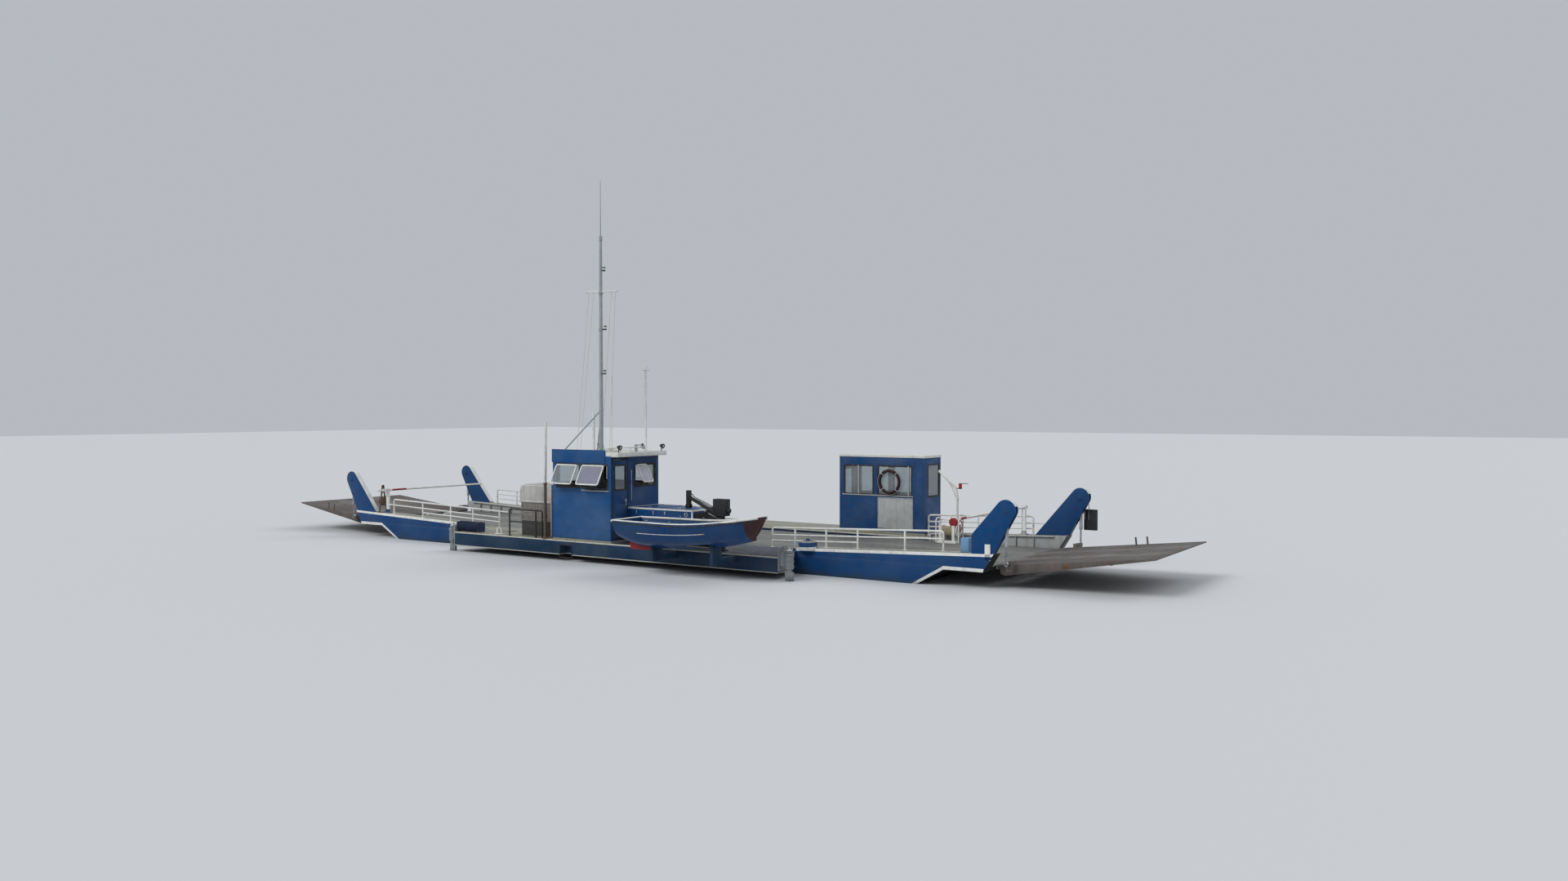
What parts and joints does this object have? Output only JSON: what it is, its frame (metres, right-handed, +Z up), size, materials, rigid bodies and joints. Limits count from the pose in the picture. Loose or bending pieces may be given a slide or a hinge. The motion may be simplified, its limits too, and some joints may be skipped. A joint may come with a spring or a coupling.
{
  "type": "river passenger ferry",
  "caption": "Flat double-ended river ferry: pontoon with hinged ramps and barriers, side sponsons, wheelhouse with mast, passenger cabin, dinghy and drive legs.",
  "frame": {"origin": "amidships on the centre line at the waterline", "axes": "+X along the hull to the right end of the picture, +Y to the passenger cabin's side, +Z up"},
  "size_m": [30.705, 9.8, 11.5],
  "materials": {
    "hull_blue": "weathered gloss paint over steel",
    "board_blue": "smooth painted board",
    "white_paint": "chipped white paint",
    "deck_cream": "worn non-slip deck paint",
    "ramp_steel": "bare rusty steel",
    "cast_grey": "grey machine paint",
    "dark_gear": "greasy black paint",
    "rod_chrome": "polished rod",
    "propeller_bronze": "cast and ground",
    "boat_blue": "glossy moulded hull",
    "red_paint": "faded red paint",
    "window_glass": "clear pane",
    "black_rubber": "matt seal",
    "wood": "varnished",
    "canvas": "folded cloth"
  },
  "bodies": {
    "hull": {"hull_pontoon": "hull_blue", "bulwark_near_left": "hull_blue", "bulwark_near_right": "hull_blue", "bulwark_far_left": "hull_blue", "bulwark_far_right": "hull_blue", "sponson_near": "hull_blue", "sponson_far": "hull_blue", "wing_near_left": "hull_blue", "wing_near_right": "hull_blue", "wing_far_left": "hull_blue", "wing_far_right": "hull_blue", "railing_near_left": "white_paint", "railing_near_right": "white_paint", "railing_far_left": "white_paint", "railing_far_right": "white_paint", "wheelhouse_floor": "deck_cream", "wheelhouse_wall_near": "board_blue", "wheelhouse_wall_far": "hull_blue", "wheelhouse_wall_left": "hull_blue", "wheelhouse_wall_right": "hull_blue", "wheelhouse_roof": "white_paint", "wheelhouse_console": "dark_gear", "mast": "cast_grey", "engine_casing": "hull_blue", "cabinet_hood": "white_paint", "sponson_pole": "white_paint", "sponson_guard": "dark_gear", "crane_pedestal": "dark_gear", "dinghy": "boat_blue", "drive_bracket_right": "cast_grey", "drive_bracket_left": "cast_grey", "cabin_floor": "deck_cream", "cabin_wall_near": "hull_blue", "cabin_wall_far": "hull_blue", "cabin_wall_right": "hull_blue", "cabin_wall_left": "hull_blue", "cabin_roof": "white_paint", "davit_socket": "ramp_steel", "windlass": "deck_cream", "hand_winch": "red_paint"},
    "ramp_right": {"ramp_right": "ramp_steel"},
    "ramp_left": {"ramp_left": "ramp_steel"},
    "barrel_near_left": {"cylinder_barrel_near_left": "dark_gear"},
    "barrel_near_right": {"cylinder_barrel_near_right": "dark_gear"},
    "barrel_far_left": {"cylinder_barrel_far_left": "dark_gear"},
    "barrel_far_right": {"cylinder_barrel_far_right": "dark_gear"},
    "rod_near_left": {"cylinder_rod_near_left": "rod_chrome"},
    "rod_near_right": {"cylinder_rod_near_right": "rod_chrome"},
    "rod_far_left": {"cylinder_rod_far_left": "rod_chrome"},
    "rod_far_right": {"cylinder_rod_far_right": "rod_chrome"},
    "wheelhouse_door": {"wheelhouse_door": "hull_blue"},
    "cabin_door": {"cabin_door": "hull_blue"},
    "crane_jib": {"crane_jib": "dark_gear"},
    "davit": {"davit": "white_paint"},
    "drive_leg_right": {"drive_leg_right": "cast_grey"},
    "drive_leg_left": {"drive_leg_left": "cast_grey"},
    "propeller_right": {"propeller_right": "propeller_bronze"},
    "propeller_left": {"propeller_left": "propeller_bronze"},
    "barrier_right": {"barrier_right": "white_paint"},
    "barrier_left": {"barrier_left": "white_paint"}
  },
  "joints": [
    {"name": "ramp_right_hinge", "type": "hinge", "parent": "hull", "child": "ramp_right", "pos_m": [11.5, 0, 0.45], "axis": [0, -1, 0], "range_deg": [-12, 12]},
    {"name": "ramp_left_hinge", "type": "hinge", "parent": "hull", "child": "ramp_left", "pos_m": [-11.5, 0, 0.45], "axis": [0, 1, 0], "range_deg": [-12, 12]},
    {"name": "barrel_near_right_swivel", "type": "hinge", "parent": "hull", "child": "barrel_near_right", "pos_m": [11.93, -2.57, 1.88], "axis": [0, -1, 0], "range_deg": [-2, 2]},
    {"name": "barrel_far_right_swivel", "type": "hinge", "parent": "hull", "child": "barrel_far_right", "pos_m": [11.93, 2.57, 1.88], "axis": [0, -1, 0], "range_deg": [-2, 2]},
    {"name": "barrel_near_left_swivel", "type": "hinge", "parent": "hull", "child": "barrel_near_left", "pos_m": [-11.93, -2.57, 1.88], "axis": [0, 1, 0], "range_deg": [-2, 2]},
    {"name": "barrel_far_left_swivel", "type": "hinge", "parent": "hull", "child": "barrel_far_left", "pos_m": [-11.93, 2.57, 1.88], "axis": [0, 1, 0], "range_deg": [-2, 2]},
    {"name": "rod_near_right_slide", "type": "slide", "parent": "barrel_near_right", "child": "rod_near_right", "axis": [-0.0008, 0, -1], "range_m": [-0.1, 0.1]},
    {"name": "rod_far_right_slide", "type": "slide", "parent": "barrel_far_right", "child": "rod_far_right", "axis": [-0.0008, 0, -1], "range_m": [-0.1, 0.1]},
    {"name": "rod_near_left_slide", "type": "slide", "parent": "barrel_near_left", "child": "rod_near_left", "axis": [0.0008, 0, -1], "range_m": [-0.1, 0.1]},
    {"name": "rod_far_left_slide", "type": "slide", "parent": "barrel_far_left", "child": "rod_far_left", "axis": [0.0008, 0, -1], "range_m": [-0.1, 0.1]},
    {"name": "wheelhouse_door_hinge", "type": "hinge", "parent": "hull", "child": "wheelhouse_door", "pos_m": [0.956, -3.99, 1.8], "axis": [0, 0, -1], "range_deg": [0, 100]},
    {"name": "cabin_door_hinge", "type": "hinge", "parent": "hull", "child": "cabin_door", "pos_m": [4.384, 2.64, 1.7], "axis": [0, 0, 1], "range_deg": [0, 100]},
    {"name": "crane_slew", "type": "hinge", "parent": "hull", "child": "crane_jib", "pos_m": [4.44, -3.7, 1.1], "axis": [0, 0, 1], "range_deg": [-30, 120]},
    {"name": "davit_slew", "type": "hinge", "parent": "hull", "child": "davit", "pos_m": [8.33, 2.42, 1.2], "axis": [0, 0, 1], "range_deg": [-90, 90]},
    {"name": "drive_leg_right_steer", "type": "hinge", "parent": "hull", "child": "drive_leg_right", "pos_m": [6.72, -3.98, 0], "axis": [0, 0, 1], "range_deg": [-90, 90]},
    {"name": "drive_leg_left_steer", "type": "hinge", "parent": "hull", "child": "drive_leg_left", "pos_m": [-5.45, -3.98, 0], "axis": [0, 0, 1], "range_deg": [-90, 90]},
    {"name": "propeller_right_spin", "type": "hinge", "parent": "drive_leg_right", "child": "propeller_right", "pos_m": [6.98, -3.98, -0.45], "axis": [1, 0, 0], "continuous": true},
    {"name": "propeller_left_spin", "type": "hinge", "parent": "drive_leg_left", "child": "propeller_left", "pos_m": [-5.71, -3.98, -0.45], "axis": [1, 0, 0], "continuous": true},
    {"name": "barrier_right_lift", "type": "hinge", "parent": "hull", "child": "barrier_right", "pos_m": [10.35, 2.42, 1.575], "axis": [-1, 0, 0], "range_deg": [0, 80]},
    {"name": "barrier_left_lift", "type": "hinge", "parent": "hull", "child": "barrier_left", "pos_m": [-10.35, -2.42, 1.575], "axis": [1, 0, 0], "range_deg": [0, 80]}
  ],
  "couplings": [
    {"joint": "barrel_near_right_swivel", "follows": "ramp_right_hinge", "ratio": -0.141},
    {"joint": "barrel_far_right_swivel", "follows": "ramp_right_hinge", "ratio": -0.141},
    {"joint": "rod_near_right_slide", "follows": "ramp_right_hinge", "m_per_rad": -0.43},
    {"joint": "rod_far_right_slide", "follows": "ramp_right_hinge", "m_per_rad": -0.43},
    {"joint": "barrel_near_left_swivel", "follows": "ramp_left_hinge", "ratio": -0.141},
    {"joint": "barrel_far_left_swivel", "follows": "ramp_left_hinge", "ratio": -0.141},
    {"joint": "rod_near_left_slide", "follows": "ramp_left_hinge", "m_per_rad": -0.43},
    {"joint": "rod_far_left_slide", "follows": "ramp_left_hinge", "m_per_rad": -0.43}
  ]
}
